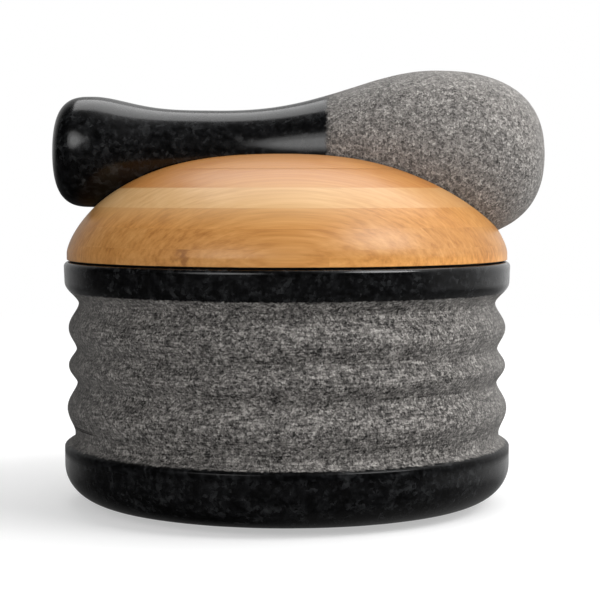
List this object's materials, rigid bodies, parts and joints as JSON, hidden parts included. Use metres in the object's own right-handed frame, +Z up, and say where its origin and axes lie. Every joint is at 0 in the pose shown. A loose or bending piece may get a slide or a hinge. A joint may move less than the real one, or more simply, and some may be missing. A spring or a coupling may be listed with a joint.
{
  "type": "lidded granite molcajete",
  "caption": "Ribbed granite mortar with polished rim and foot, a domed laminated bamboo lid that plugs its mouth, and a granite pestle resting in a cradle carved across the lid.",
  "frame": {"origin": "on the floor, at the centre of the foot pad's underside, which is on the bowl's axis", "axes": "+Z up along the bowl's axis, +X along the pestle from its grip to its head, +Y away from the viewer of the front"},
  "size_m": [0.1672, 0.152, 0.1473],
  "materials": {
    "granite": "satin",
    "bamboo_amber": "satin",
    "bamboo_honey": "satin",
    "black_silicone": "matte"
  },
  "bodies": {
    "bowl": {"mortar": "granite", "foot_pad": "black_silicone"},
    "seal": {"lid_seal": "black_silicone"},
    "lid": {"lid_board_1": "bamboo_amber", "lid_board_2": "bamboo_amber", "lid_board_3": "bamboo_amber", "lid_board_4": "bamboo_amber", "lid_board_5": "bamboo_honey", "lid_board_6_front": "bamboo_amber", "lid_board_6_rear": "bamboo_amber", "lid_board_7_front": "bamboo_amber", "lid_board_7_rear": "bamboo_amber"},
    "pestle": {"pestle": "granite"}
  },
  "joints": [
    {"name": "lid_lift", "type": "slide", "parent": "bowl", "child": "seal", "axis": [0, 0, 1], "range_m": [0, 0.12]},
    {"name": "lid_turn", "type": "hinge", "parent": "seal", "child": "lid", "pos_m": [0, 0, 0.0826], "axis": [0, 0, 1], "continuous": true},
    {"name": "pestle_lift", "type": "slide", "parent": "lid", "child": "pestle", "axis": [0, 0, 1], "range_m": [0, 0.08]}
  ]
}
